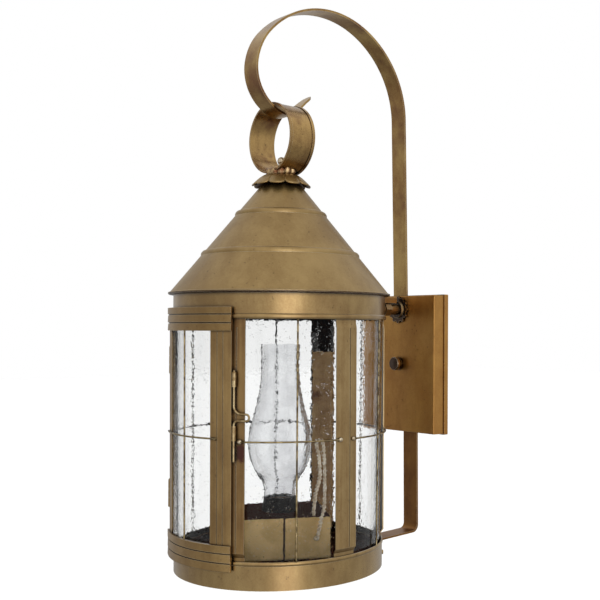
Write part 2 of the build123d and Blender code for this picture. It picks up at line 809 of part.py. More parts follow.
socket_rim = -145.0
with BuildPart() as lamp_socket:
    with BuildSketch(radial_plane(0)):
        with BuildLine():
            Polyline(
                (0, box_top - 24),
                (15.8, box_top - 24),
                (15.8, box_top),
                (socket_radius - 0.6, box_top),
                (socket_radius, box_top + 0.6),
                (socket_radius, socket_rim - 0.6),
                (socket_radius - 0.4, socket_rim),
                (17.5, socket_rim),
                (17.5, chimney_seat),
                (15.1, chimney_seat),
                (15.1, socket_rim - 2),
                (13.9, socket_rim - 2),
                (13.9, box_top - 20),
                (0, box_top - 20),
                close=True,
            )
        make_face()
    revolve(axis=cage_axis)
save(lamp_socket, "lamp_socket")

shell_foot = box_top - 17.5
with BuildPart() as screw_shell:
    with BuildSketch(Plane((0, -reach, shell_foot))):
        Circle(13.9)
        Circle(13.3, mode=Mode.SUBTRACT)
    extrude(amount=socket_rim - 3 - shell_foot)
save(screw_shell, "screw_shell")

with BuildPart() as centre_contact:
    with BuildSketch(Plane((0, -reach, box_top - 20))):
        Circle(3.6)
    extrude(amount=2.2, taper=14)
save(centre_contact, "centre_contact")

with BuildPart() as lamp_lead:
    with BuildLine() as lead_path:
        FilletPolyline(*[box_point(*turn) for turn in lead_turns], radius=lead_bends)
    with BuildSketch(Plane(lead_path.line @ 0, z_dir=lead_path.line % 0)):
        Circle(lead_radius)
    sweep()
save(lamp_lead, "lamp_lead")

channel_foot = floor_top + 7.1
with BuildPart() as wire_channel:
    back = cage_radius(channel_foot) - post_wall - glass_wall - 1.7
    with BuildSketch(round_about(channel_foot, channel_azimuth, back - channel_depth / 2)):
        Rectangle(channel_depth, channel_width)
        with Locations((0.6, 0)):
            Rectangle(channel_depth, channel_width - 1.6, mode=Mode.SUBTRACT)
    extrude(amount=channel_top - channel_foot)
save(wire_channel, "wire_channel")

# ---------------------------------------------------------------- glass chimney
with BuildPart() as chimney:
    with BuildSketch(radial_plane(0)):
        with BuildLine():
            foot_out, mouth_out = 17.2, 22.0
            outside = [(foot_out, -141), (26.5, -118), (35.6, -84), (28.6, -50), (22.0, -15), (21.2, 5)]
            inside = [(r - chimney_wall, z) for r, z in reversed(outside)]
            Line((foot_out, chimney_seat), (foot_out, -141))
            Spline(*outside, tangents=[(0, 1), (0, 1)])
            Polyline((21.2, 5), (mouth_out, chimney_top), (mouth_out - chimney_wall, chimney_top), inside[0])
            Spline(*inside, tangents=[(0, -1), (0, -1)])
            Polyline(inside[-1], (foot_out - chimney_wall, chimney_seat), (foot_out, chimney_seat))
        make_face()
    revolve(axis=cage_axis)
save(chimney, "chimney")

# ---------------------------------------------------------------- rivets
with BuildPart() as strap_rivets:
    # two through the strap into the rear frame, two through its foot into the base ring
    for height in (-66.0, -78.0):
        with BuildSketch(Plane((0, -plate_sheet - strap_thick, height), x_dir=(1, 0, 0), z_dir=(0, -1, 0))):
            Circle(3.0)
        extrude(amount=1.4, taper=20)
    for offset_x in (-7.0, 7.0):
        foot_face = strap_foot + strap_thick / 2
        with BuildSketch(Plane((offset_x, foot_face, floor_top), x_dir=(1, 0, 0), z_dir=(0, 1, 0))):
            Circle(2.6)
        extrude(amount=1.3, taper=20)
save(strap_rivets, "strap_rivets")

base_screw_azimuths = (141.0, 219.0)
with BuildPart() as base_screws:
    for azimuth in base_screw_azimuths:
        wall_rivet(azimuth, base_radius - 0.05, -209.7, 2.9, 1.7)
save(base_screws, "base_screws")
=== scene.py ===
import math
import random

import bpy
from mathutils import Matrix, Vector


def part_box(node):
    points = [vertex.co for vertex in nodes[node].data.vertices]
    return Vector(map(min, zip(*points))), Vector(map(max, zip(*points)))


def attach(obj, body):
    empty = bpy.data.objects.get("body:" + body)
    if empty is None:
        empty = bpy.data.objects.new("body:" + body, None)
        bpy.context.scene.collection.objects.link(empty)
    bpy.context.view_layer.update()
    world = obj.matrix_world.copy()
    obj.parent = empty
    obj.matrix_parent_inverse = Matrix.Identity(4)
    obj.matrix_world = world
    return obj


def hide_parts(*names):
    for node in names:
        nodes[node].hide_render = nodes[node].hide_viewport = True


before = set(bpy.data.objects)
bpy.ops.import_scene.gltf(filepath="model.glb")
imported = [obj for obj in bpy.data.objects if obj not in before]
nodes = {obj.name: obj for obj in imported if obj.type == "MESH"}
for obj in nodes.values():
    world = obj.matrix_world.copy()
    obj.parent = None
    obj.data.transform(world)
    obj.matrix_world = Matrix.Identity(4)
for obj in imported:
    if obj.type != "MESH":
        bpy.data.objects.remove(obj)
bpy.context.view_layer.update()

# Looks for an outdoor wall lantern in antique brass. Metres, in the row's frame: the wall is the
# plane Y = 0, +Z is up and the lantern stands out along -Y. An azimuth is in degrees round the
# lantern's axis, from its front (-Y) towards +X.
scene = bpy.context.scene
random.seed(7)
up = Vector((0, 0, 1))

# ---------------------------------------------------------------- places read from the frame
floor_low, floor_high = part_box("base_floor")
axis = Vector(((floor_low.x + floor_high.x) / 2, (floor_low.y + floor_high.y) / 2, 0))
collar_low, collar_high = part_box("crown_collar")
channel_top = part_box("wire_channel")[1].z
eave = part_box("roof_lower")[0].z
nut_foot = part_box("cap_nut")[0].z

box_azimuth = math.radians(60)      # the way the socket box's front faces
box_outwards = Vector((math.sin(box_azimuth), -math.cos(box_azimuth), 0))
box_across = Vector((math.cos(box_azimuth), math.sin(box_azimuth), 0))


def around(azimuth, radius, height):
    """Point at an azimuth, a radius from the lantern's axis and a height."""
    a = math.radians(azimuth)
    return Vector((axis.x + radius * math.sin(a), axis.y - radius * math.cos(a), height))


# ---------------------------------------------------------------- node graph helpers
class Graph:
    """Short calls that add nodes to a node tree. Noise and cell scales are features a metre."""

    def __init__(self, tree):
        self.tree = tree
        self.coords = tree.nodes.new("ShaderNodeTexCoord")
        self.place = self.coords.outputs["Object"]

    def put(self, socket, value):
        """Links an output to a socket, or sets the socket's own value."""
        if isinstance(value, bpy.types.NodeSocket):
            self.tree.links.new(value, socket)
        else:
            socket.default_value = value

    def stretched(self, x, y, z):
        """The place on the object with its coordinates scaled; below 1 draws a pattern out."""
        node = self.tree.nodes.new("ShaderNodeMapping")
        node.inputs["Scale"].default_value = (x, y, z)
        self.put(node.inputs["Vector"], self.place)
        return node.outputs["Vector"]

    def noise(self, scale, detail=3.0, rough=0.5, place=None, warp=0.0):
        node = self.tree.nodes.new("ShaderNodeTexNoise")
        self.put(node.inputs["Vector"], place or self.place)
        node.inputs["Scale"].default_value = scale
        node.inputs["Detail"].default_value = detail
        node.inputs["Roughness"].default_value = rough
        node.inputs["Distortion"].default_value = warp
        return node.outputs["Fac"]

    def cells(self, scale):
        """Distance to the nearest of scattered points."""
        node = self.tree.nodes.new("ShaderNodeTexVoronoi")
        self.put(node.inputs["Vector"], self.place)
        node.inputs["Scale"].default_value = scale
        return node.outputs["Distance"]

    def calc(self, operation, first, second=0.0, clamp=False):
        node = self.tree.nodes.new("ShaderNodeMath")
        node.operation = operation
        node.use_clamp = clamp
        self.put(node.inputs[0], first)
        self.put(node.inputs[1], second)
        return node.outputs[0]

    def total(self, *terms):
        """Weighted sum of (value, weight) pairs."""
        result = 0.0
        for value, weight in terms:
            result = self.calc("ADD", self.calc("MULTIPLY", value, weight), result)
        return result

    def choose(self, share, first, second):
        """The first number where the share is 0 and the second where it is 1."""
        return self.calc("ADD", self.calc("MULTIPLY", second, share),
                         self.calc("MULTIPLY", first, self.calc("SUBTRACT", 1.0, share)))

    def vector(self, operation, first, second=(0, 0, 0)):
        node = self.tree.nodes.new("ShaderNodeVectorMath")
        node.operation = operation
        self.put(node.inputs[0], first)
        self.put(node.inputs[1], second)
        return node.outputs["Value" if operation in ("DOT_PRODUCT", "DISTANCE") else "Vector"]

    def remap(self, value, low, high, to_low=0.0, to_high=1.0):
        """Smooth step from to_low, where the value is low, to to_high, where it is high."""
        node = self.tree.nodes.new("ShaderNodeMapRange")
        node.interpolation_type = "SMOOTHSTEP"
        self.put(node.inputs["Value"], value)
        node.inputs["From Min"].default_value = low
        node.inputs["From Max"].default_value = high
        node.inputs["To Min"].default_value = to_low
        node.inputs["To Max"].default_value = to_high
        return node.outputs["Result"]

    def mix(self, share, first, second):
        """Mixes two colours; a tuple stands for a plain one."""
        node = self.tree.nodes.new("ShaderNodeMix")
        node.data_type = "RGBA"
        self.put(node.inputs["Factor"], share)
        self.put(node.inputs["A"], (*first, 1) if isinstance(first, tuple) else first)
        self.put(node.inputs["B"], (*second, 1) if isinstance(second, tuple) else second)
        return node.outputs["Result"]

    def part(self, name, value=None):
        """One coordinate of a vector, by default of the place on the object."""
        node = self.tree.nodes.new("ShaderNodeSeparateXYZ")
        self.put(node.inputs["Vector"], self.place if value is None else value)
        return node.outputs[name]

    def facing(self):
        """1 where the surface faces out from the lantern's axis, -1 where it faces in."""
        from_axis = self.vector("SUBTRACT", self.place, tuple(axis))
        outwards = self.vector("NORMALIZE", self.vector("MULTIPLY", from_axis, (1, 1, 0)))
        return self.vector("DOT_PRODUCT", outwards, self.coords.outputs["Normal"])

    def occlusion_shade(self, reach):
        """Painted shade mask from ambient occlusion: 1 deep in a corner or under an overhang, 0
        in the open.
        """
        node = self.tree.nodes.new("ShaderNodeAmbientOcclusion")
        node.samples = 6
        node.inputs["Distance"].default_value = reach
        return self.remap(node.outputs["AO"], 0.86, 0.42)

    def edge(self, radius):
        """1 along sharp edges."""
        node = self.tree.nodes.new("ShaderNodeBevel")
        node.samples = 4
        node.inputs["Radius"].default_value = radius
        plain = self.tree.nodes.new("ShaderNodeNewGeometry").outputs["Normal"]
        alike = self.vector("DOT_PRODUCT", node.outputs["Normal"], plain)
        return self.remap(alike, 0.985, 0.9)

    def bump(self, height, distance, strength=1.0, under=None):
        """Normal of a relief, over the relief given as under."""
        node = self.tree.nodes.new("ShaderNodeBump")
        node.inputs["Strength"].default_value = strength
        node.inputs["Distance"].default_value = distance
        self.put(node.inputs["Height"], height)
        if under is not None:
            self.put(node.inputs["Normal"], under)
        return node.outputs["Normal"]


class Surface(Graph):
    """The graph of a new material that ends in a Principled shader."""

    def __init__(self, name):
        self.material = bpy.data.materials.new(name)
        self.material.use_nodes = True
        tree = self.material.node_tree
        tree.nodes.clear()
        output = tree.nodes.new("ShaderNodeOutputMaterial")
        self.shader = tree.nodes.new("ShaderNodeBsdfPrincipled")
        tree.links.new(self.shader.outputs["BSDF"], output.inputs["Surface"])
        super().__init__(tree)

    def finish(self, **values):
        """Sets shader inputs and gives the material; an underscore stands for a space."""
        for name, value in values.items():
            socket = self.shader.inputs[name.replace("_", " ")]
            if isinstance(value, tuple):
                value = (*value, 1)
            self.put(socket, value)
        return self.material


# ---------------------------------------------------------------- colours, linear
# near black: painted shade on faces turned in towards the lamp
shade_black = (0.004, 0.003, 0.003)
umber = (0.035, 0.016, 0.006)
# near black: painted shade, with grime, in corners and under overhangs
grime_and_painted_shade = (0.008, 0.003, 0.0015)
inner_shade = (0.05, 0.022, 0.008)            # painted shade on the faces turned in towards the lamp
blush = (0.13, 0.035, 0.014)            # copper-red clouds
eave_rim_dark = (0.045, 0.016, 0.006)           # darker turned edge of the eave
flux_stain = (0.075, 0.018, 0.008)
# pale brass of rubbed edges, which also serves as a painted edge highlight
bare_brass_highlight = (0.80, 0.66, 0.42)
# box: darker top, and painted shade in its corners
box_dark_top_and_shade = (0.02, 0.008, 0.005)
box_top_brown = (0.07, 0.026, 0.016)
box_seam = (0.05, 0.02, 0.01)


# ---------------------------------------------------------------- materials
def aged_brass(name, light, dark, rough=0.46, streak=0.0, inside=None, shade_above=None,
               stain_at=None, coat=0.28, metal=1.0, red=0.0, dark_below=None, shine=0.5):
    """Antique brass sheet: cloudy patina, flecks, painted shade with grime in corners, rubbed
    edges that also paint a highlight, and a waxed face.

    streak is the share of upright lines and red the share of reddish clouds. inside is the
    colour of the face towards the axis: painted shade, black above the height shade_above.
    Below dark_below the sheet is darker, and a round stain has its centre at stain_at.
    """
    shade_fade, rim_fade = 0.002, 0.0007
    stain_rim, stain_core, stain_ragged = 0.0165, 0.0125, 0.012
    shade_reach, edge_radius = 0.006, 0.0007
    g = Surface(name)
    cloud = g.noise(10, 4, 0.6, warp=0.5)
    film = g.noise(52, 5, 0.66, place=g.stretched(1, 1, 0.45))
    grain = g.noise(620, 4, 0.62)
    age = g.total((cloud, 0.5), (film, 0.34), (grain, 0.16))
    if streak:
        lines = g.noise(150, 4, 0.62, place=g.stretched(1, 1, 0.035))
        age = g.total((age, 1 - streak), (lines, streak))
    colour = g.mix(g.remap(age, 0.38, 0.62), light, dark)
    if red:
        reddened = g.calc("MULTIPLY", g.remap(g.noise(17, 4, 0.6), 0.5, 0.68), red)
        colour = g.mix(reddened, colour, blush)
    specks = g.remap(g.noise(240, 4, 0.7), 0.61, 0.70)
    flecks = g.calc("MULTIPLY", specks, g.remap(film, 0.42, 0.60))
    colour = g.mix(g.calc("MULTIPLY", flecks, 0.7), colour, umber)
    # painted shade: the faces turned in towards the axis take the inside colour
    if inside is not None:
        colour = g.mix(g.remap(g.facing(), -0.15, -0.6), colour, inside)
    # painted shade: above this height the inward faces are painted black
    if shade_above is not None:
        above = g.remap(g.part("Z"), shade_above, shade_above + shade_fade)
        shaded = g.calc("MULTIPLY", above, g.remap(g.facing(), 0.0, -0.4))
        colour = g.mix(shaded, colour, shade_black)
    # darker along the eave's turned edge
    if dark_below is not None:
        below = g.remap(g.part("Z"), dark_below, dark_below - rim_fade)
        colour = g.mix(below, colour, eave_rim_dark)
    if stain_at is not None:
        spread = g.vector("DISTANCE", g.place, tuple(stain_at))
        ragged = g.total((spread, 1.0), (g.noise(210, 3, 0.6), stain_ragged))
        colour = g.mix(g.remap(ragged, stain_rim, stain_core), colour, flux_stain)
    # painted shade, with grime, darkens the sheet in corners and under overhangs
    shaded_corner = g.occlusion_shade(shade_reach)
    colour = g.mix(g.calc("MULTIPLY", shaded_corner, 0.98), colour, grime_and_painted_shade)
    # rubbed edges in bare brass, which also paint a highlight along every sharp edge
    rubbed_and_highlit = g.calc("MULTIPLY", g.edge(edge_radius), g.calc("SUBTRACT", 1.0, shaded_corner))
    colour = g.mix(g.calc("MULTIPLY", rubbed_and_highlit, 0.7), colour, bare_brass_highlight)
    uneven = g.total((grain, 0.14), (cloud, 0.14))
    roughness = g.calc("ADD", uneven, rough - 0.14, clamp=True)
    sheet = g.bump(g.noise(26, 2, 0.4), 0.0009, 0.3)
    fine = g.bump(grain, 0.00006, 0.5, under=sheet)
    return g.finish(Base_Color=colour, Metallic=metal, Roughness=roughness, Normal=fine,
                    Coat_Weight=coat, Coat_Roughness=0.24, Coat_IOR=1.75,
                    Specular_IOR_Level=shine)


def wire_brass(name, light, dark, inside, rough=0.3):
    """Brass wire or solder: rubbed on the outside, with painted shade on the side towards the
    lamp.
    """
    g = Surface(name)
    wear = g.noise(150, 5, 0.65)
    colour = g.mix(g.remap(wear, 0.40, 0.62), light, dark)
    # painted shade on the side turned in towards the lamp
    colour = g.mix(g.remap(g.facing(), 0.1, -0.3), colour, inside)
    return g.finish(Base_Color=colour, Metallic=1.0,
                    Roughness=g.remap(wear, 0.3, 0.7, rough - 0.08, rough + 0.14),
                    Normal=g.bump(g.noise(700, 3, 0.6), 0.00008, 0.6))


def seedy_glass(name):
    """Clear hand-rolled glass: fine chatter over a slow wave, with small round bubbles."""
    g = Surface(name)
    wave = g.bump(g.noise(24, 1, 0.4), 0.0002, 0.3)
    chatter = g.bump(g.noise(330, 1, 0.4), 0.000058, 1.0, under=wave)
    bubble = g.remap(g.cells(430), 0.24, 0.12)
    wanted = g.remap(g.noise(170, 3, 0.6), 0.56, 0.60)
    seeds = g.bump(g.calc("MULTIPLY", bubble, wanted), 0.0002, 0.9, under=chatter)
    return g.finish(Base_Color=(0.968, 0.972, 0.97), Roughness=0.0, IOR=1.33,
                    Specular_IOR_Level=0.1, Transmission_Weight=1.0, Normal=seeds)


def blown_glass(name):
    """Chimney glass with a faint bloom and drawing lines."""
    g = Surface(name)
    lines = g.bump(g.noise(30, 2, 0.4, place=g.stretched(1, 1, 0.3)), 0.0009, 0.4)
    dents = g.bump(g.noise(95, 2, 0.5), 0.0008, 0.5, under=lines)
    smoky = g.remap(g.noise(24, 4, 0.6), 0.35, 0.7)
    return g.finish(Base_Color=g.mix(smoky, (0.96, 0.965, 0.97), (0.80, 0.80, 0.815)),
                    Roughness=g.remap(g.noise(40, 3), 0.3, 0.7, 0.03, 0.09), IOR=1.49,
                    Specular_IOR_Level=0.3, Transmission_Weight=1.0, Normal=dents)


def phenolic(name):
    """Black moulded socket body, a little dusty."""
    g = Surface(name)
    dust = g.remap(g.noise(300, 4, 0.6), 0.45, 0.7)
    return g.finish(Base_Color=g.mix(dust, (0.005, 0.004, 0.004), (0.02, 0.015, 0.011)),
                    Roughness=g.remap(dust, 0.0, 1.0, 0.35, 0.6), Specular_IOR_Level=0.12,
                    Normal=g.bump(g.noise(1400, 3), 0.00004, 0.6))


def painted_box(name):
    """Socket box: dull tan paint on its sides, with an upright seam and a darker top,
    and painted shade in its corners.
    """
    g = Surface(name)
    cloud = g.noise(30, 4, 0.6)
    speck = g.remap(g.noise(420, 3, 0.7), 0.62, 0.68)
    side = g.mix(g.remap(cloud, 0.4, 0.62), (0.90, 0.64, 0.29), (0.68, 0.46, 0.19))
    side = g.mix(g.calc("MULTIPLY", speck, 0.7), side, (0.9, 0.8, 0.6))
    from_axis = g.vector("SUBTRACT", g.place, tuple(axis))
    aside = g.calc("ABSOLUTE", g.vector("DOT_PRODUCT", from_axis, tuple(box_across)))
    side = g.mix(g.remap(aside, 0.0015, 0.0008), side, box_seam)
    # the top face is darker brown
    lid = g.remap(g.part("Z", g.coords.outputs["Normal"]), 0.3, 0.7)
    colour = g.mix(lid, side, g.mix(cloud, box_dark_top_and_shade, box_top_brown))
    # painted shade in the box's corners
    colour = g.mix(g.calc("MULTIPLY", g.occlusion_shade(0.004), 0.9), colour, box_dark_top_and_shade)
    return g.finish(Base_Color=colour, Specular_IOR_Level=0.0, Roughness=0.7,
                    Normal=g.bump(g.noise(500, 3), 0.00006, 0.6))


def lead_sleeve(name):
    """Pale insulation of the lamp's wires."""
    g = Surface(name)
    tone = g.noise(260, 3, 0.6)
    colour = g.mix(g.remap(tone, 0.35, 0.65), (0.95, 0.86, 0.70), (0.62, 0.48, 0.32))
    return g.finish(Base_Color=colour, Roughness=0.55, Normal=g.bump(tone, 0.0001, 0.6))


def zinc(name):
    """Dull zinc plate with a crystal bloom."""
    g = Surface(name)
    bloom = g.cells(420)
    return g.finish(Base_Color=g.mix(bloom, (0.45, 0.44, 0.41), (0.62, 0.61, 0.58)),
                    Metallic=1.0, Roughness=g.remap(bloom, 0.0, 1.0, 0.28, 0.5),
                    Normal=g.bump(g.noise(800), 0.00004, 0.5))


# the inside colour paints shade on the faces turned in towards the lamp
brass = aged_brass("aged_brass", (0.41, 0.275, 0.104), (0.26, 0.155, 0.050), rough=0.3,
                   coat=0.4, inside=inner_shade)
roof_brass = aged_brass("roof_brass", (0.40, 0.270, 0.104), (0.295, 0.186, 0.064),
                        inside=inner_shade, dark_below=eave + 0.0027)
arm_brass = aged_brass("arm_brass", (0.50, 0.33, 0.11), (0.26, 0.125, 0.034), rough=0.3,
                       red=0.5)
ring_brass = aged_brass("ring_brass", (0.50, 0.315, 0.108), (0.15, 0.066, 0.019), rough=0.27,
                        red=1.0)
plate_brass = aged_brass("plate_brass", (0.54, 0.28, 0.066), (0.41, 0.188, 0.04), rough=0.42,
                         coat=0.2)
strap_brass = aged_brass("strap_brass", (0.27, 0.120, 0.022), (0.17, 0.062, 0.010),
                         rough=0.42, coat=0.15)
post_brass = aged_brass("post_brass", (0.44, 0.305, 0.13), (0.28, 0.170, 0.060), streak=0.3,
                        inside=inner_shade)
door_brass = aged_brass("door_brass", (0.40, 0.255, 0.092), (0.24, 0.138, 0.045), streak=0.3,
                        inside=inner_shade)
rail_brass = aged_brass("rail_brass", (0.41, 0.265, 0.098), (0.26, 0.152, 0.048), rough=0.4,
                        inside=inner_shade)
latch_post_brass = aged_brass("latch_post_brass", (0.33, 0.200, 0.066),
                              (0.18, 0.092, 0.027), streak=0.45, inside=inner_shade,
                              stain_at=around(34.5, 0.1165, -0.083))
# post_4: its inward face above the wire channel is painted black shade
shaded_post_brass = aged_brass("shaded_post_brass", (0.30, 0.19, 0.08), (0.2, 0.12, 0.045), streak=0.5,
                          coat=0.0, inside=(0.028, 0.012, 0.008), shade_above=channel_top)
channel_brass = aged_brass("channel_brass", (0.62, 0.40, 0.19), (0.30, 0.155, 0.065),
                           rough=0.6, coat=0.0, metal=0.1, red=0.9, shine=0.0)
pipe_brass = aged_brass("pipe_brass", (0.33, 0.20, 0.075), (0.20, 0.105, 0.036), red=0.4)
# the base floor inside the cage is near black: painted shade
shaded_base_floor = aged_brass("shaded_base_floor", (0.045, 0.014, 0.009), (0.008, 0.004, 0.004),
                        rough=0.7, coat=0.0, metal=0.0, shine=0.0)
blackened = aged_brass("blackened_metal", (0.06, 0.035, 0.02), (0.02, 0.011, 0.007),
                       rough=0.4, coat=0.2)
# the third colour of each wire finish is painted shade on its side towards the lamp
wire_metal = wire_brass("wire_brass", (0.40, 0.31, 0.16), (0.10, 0.068, 0.033), shade_black)
latch_metal = wire_brass("latch_brass", (0.52, 0.40, 0.22), (0.26, 0.165, 0.07),
                         (0.2, 0.12, 0.05), rough=0.34)
pale_solder = wire_brass("pale_solder", (0.72, 0.62, 0.45), (0.35, 0.24, 0.13),
                         (0.2, 0.13, 0.07), rough=0.34)
flux_solder = wire_brass("flux_solder", (0.50, 0.36, 0.19), (0.16, 0.065, 0.03),
                         (0.3, 0.17, 0.08))
window_glass = seedy_glass("seedy_glass")
insulation = lead_sleeve("lead_sleeve")

# the brass named aged_brass is for every node that isn't named here
wearers = (
    (plate_brass, "wall_cover rear_frame"),
    (strap_brass, "lower_strap"),
    (arm_brass, "hook_arm"),
    (ring_brass, "hanging_ring"),
    (roof_brass, "roof_upper roof_middle roof_lower"),
    (latch_post_brass, "post_1"),
    (post_brass, "post_2 post_3 post_5 post_6"),
    (shaded_post_brass, "post_4"),
    (door_brass, "door_latch_stile door_hinge_stile"),
    (rail_brass, "door_top_rail door_bottom_rail"),
    (channel_brass, "wire_channel"),
    (shaded_base_floor, "base_floor"),
    (pipe_brass, "pipe_coupling wiring_pipe pipe_stay"),
    (blackened, "pipe_locknuts ring_bolt"),
    (zinc("zinc_plate"), "crossbar centre_stud"),
    (painted_box("box_paint"), "socket_box"),
    (phenolic("black_phenolic"), "lamp_socket"),
    (blown_glass("chimney_glass"), "chimney"),
    (window_glass, "door_glass glass_right_front glass_right_rear glass_rear"),
    (window_glass, "glass_left_rear glass_left_front"),
    (wire_metal, "upright_wires level_wires door_upright_wire door_level_wire"),
    (latch_metal, "latch_wire latch_tubes hinge_pins screw_shell centre_contact"),
    (pale_solder, "cap_nut"),
)
finishes = {name: material for material, names in wearers for name in names.split()}
for name, piece in nodes.items():
    piece.data.materials.clear()
    piece.data.materials.append(finishes.get(name, brass))


# ---------------------------------------------------------------- pieces modelled here
def add_piece(name, points, faces, material, slot, body, *stands_for):
    """Smooth mesh piece that rides a body and takes the place of the CAD nodes it stands for."""
    mesh = bpy.data.meshes.new(name)
    mesh.from_pydata(points, [], faces)
    mesh.update()
    for polygon in mesh.polygons:
        polygon.use_smooth = True
    mesh.materials.append(material)
    piece = bpy.data.objects.new(name, mesh)
    scene.collection.objects.link(piece)
    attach(piece, body)
    if stands_for:
        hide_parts(*stands_for)


def rings_to_faces(count, size, first=0):
    """Quads between closed rings of points, one after the other."""
    faces = []
    for k in range(count - 1):
        for i in range(size):
            j = (i + 1) % size
            a, b = first + k * size, first + (k + 1) * size
            faces.append((a + i, a + j, b + j, b + i))
    return faces


def capped_rings(count, size, first):
    """The same quads, with a face over the first ring and one over the last."""
    last = first + (count - 1) * size
    faces = rings_to_faces(count, size, first)
    faces.append(tuple(first + i for i in range(size))[::-1])
    faces.append(tuple(last + i for i in range(size)))
    return faces


def petal_collar():
    """Thin domed collar whose rim is cut and pressed into rounded petals."""
    petals, size, steps = 10, 320, 14
    first_petal = 0.28                          # share of a petal that the first is turned by
    hole, shoulder, rim = 0.0027, 0.0165, (collar_high.x - collar_low.x) / 2
    flat, drop = collar_high.z, collar_high.z - collar_low.z - 0.0012
    notch_depth, notch_dip, thick = 0.0017, 0.0007, 0.0010
    notch_share, petal_share = 0.74, 0.26       # of the reach, at a notch and more at a petal
    rings = []
    for side in (0, 1):
        order = range(steps + 1) if side == 0 else range(steps, -1, -1)
        for k in order:
            share = max(0.0, (k - 2) / (steps - 2))
            ring = []
            for i in range(size):
                turn = 360 * i / size
                off = abs(2 * ((turn * petals / 360 + first_petal) % 1) - 1)
                lobe = math.sqrt(max(0.0, 1 - off ** 2.2))
                reach = share * (notch_share + petal_share * lobe)
                if k < 2:
                    radius, height = (hole, shoulder)[k], flat
                else:
                    cut = (1 - lobe) * share
                    radius = shoulder + (rim - shoulder) * reach ** 0.92 - notch_depth * cut
                    height = flat - drop * reach ** 1.35 - notch_dip * cut
                radius -= side * thick * 0.5 * share
                ring.append(around(turn, radius, height - side * thick))
            rings.append(ring)
    points = [point for ring in rings for point in ring]
    faces = rings_to_faces(len(rings), size)
    last = (len(rings) - 1) * size
    faces += [(last + i, last + (i + 1) % size, (i + 1) % size, i) for i in range(size)]
    add_piece("petal_collar", points, faces, roof_brass, "brass", "lantern", "crown_collar")


def islands(node):
    """Centres of the separate solids of a CAD node; loose parts of one solid are joined."""
    one_solid = 0.004
    mesh = nodes[node].data
    parent = list(range(len(mesh.vertices)))

    def root(i):
        while parent[i] != i:
            parent[i] = parent[parent[i]]
            i = parent[i]
        return i

    for edge in mesh.edges:
        a, b = (root(v) for v in edge.vertices)
        parent[a] = b
    groups = {}
    for vertex in mesh.vertices:
        groups.setdefault(root(vertex.index), []).append(nodes[node].matrix_world @ vertex.co)
    merged = []
    for points in groups.values():
        whole, count = sum(points, Vector()), len(points)
        centre = whole / count
        near = next((m for m in merged if (m[0] / m[1] - centre).length < one_solid), None)
        if near:
            near[0] += whole
            near[1] += count
        else:
            merged.append([whole, count])
    return sorted((m[0] / m[1] for m in merged), key=lambda c: (round(c.x, 4), round(c.y, 4)))


def lump(points, faces, centre, out, radius):
    """Adds an uneven drop of solder, flattened along the direction that it faces."""
    rows, size = 9, 14
    widen, flatten, uneven = 1.15, 0.62, 0.07
    side = out.cross(up).normalized()
    first = len(points)
    for k in range(rows):
        bow = math.pi * (k + 0.5) / rows
        for i in range(size):
            turn = 2 * math.pi * i / size
            swell = 1 + random.uniform(-uneven, uneven)
            offset = (side * math.cos(turn) * math.sin(bow) * widen
                      + up * math.sin(turn) * math.sin(bow)
                      + out * math.cos(bow) * flatten)
            points.append(centre + offset * radius * swell)
    faces += capped_rings(rows, size, first)


def solder_lumps():
    """Drops of solder that hold the ends of the level guard wires."""
    points, faces = [], []
    for centre in islands("wire_rivets"):
        out = (centre - axis) * Vector((1, 1, 0))
        lump(points, faces, centre, out.normalized(), random.uniform(0.0019, 0.0024))
    add_piece("solder_lumps", points, faces, pale_solder, "wire", "lantern", "wire_rivets")


def ring_solder():
    """Rough solder in the bottom of the hanging ring and where its foot meets the collar."""
    # azimuth in degrees, then reach from the axis, rise over the nut's foot and radius in mm
    round_the_nut = ((20, 7.5, 1.6, 3.4), (75, 8.5, 1.8, 3.8), (110, 9.5, 2.2, 3.0),
                     (160, 6.5, 2.4, 3.6), (250, 7.5, 1.6, 3.2), (310, 7.0, 2.8, 3.4),
                     (60, 4.6, 6.0, 2.6), (200, 4.2, 6.6, 2.3))
    # X and Y from the axis, rise over the collar's top and radius in mm
    at_the_foot = ((2, -17.5, 0.6, 3.8), (7, -18.0, 0.4, 3.2), (10, -16.5, 1.2, 4.4),
                   (13, -16.2, 4.8, 2.8), (14.5, -12, 1.6, 4.4), (17, -5, 2.9, 4.0),
                   (17, 2, 2.4, 3.4))
    points, faces = [], []
    nearly_up = Vector((0.2, 0.1, 1)).normalized()
    slanting = Vector((0.6, -0.5, 0.6)).normalized()
    for azimuth, reach, rise, radius in round_the_nut:
        centre = around(azimuth, reach / 1000, nut_foot + rise / 1000)
        lump(points, faces, centre, nearly_up, radius / 1000)
    for x, y, rise, radius in at_the_foot:
        centre = axis + Vector((x, y, 0)) / 1000 + Vector((0, 0, collar_high.z + rise / 1000))
        lump(points, faces, centre, slanting, radius / 1000)
    add_piece("ring_solder", points, faces, flux_solder, "brass", "lantern")


def smooth_route(knots, steps):
    """Points on a smooth curve through all knots (Catmull-Rom)."""
    route = []
    for k in range(len(knots) - 1):
        before, a = knots[max(k - 1, 0)], knots[k]
        b, after = knots[k + 1], knots[min(k + 2, len(knots) - 1)]
        for i in range(steps):
            t = i / steps
            route.append(0.5 * (2 * a + (b - before) * t
                                + (2 * before - 5 * a + 4 * b - after) * t * t
                                + (3 * a - before - 3 * b + after) * t ** 3))
    route.append(knots[-1])
    return route


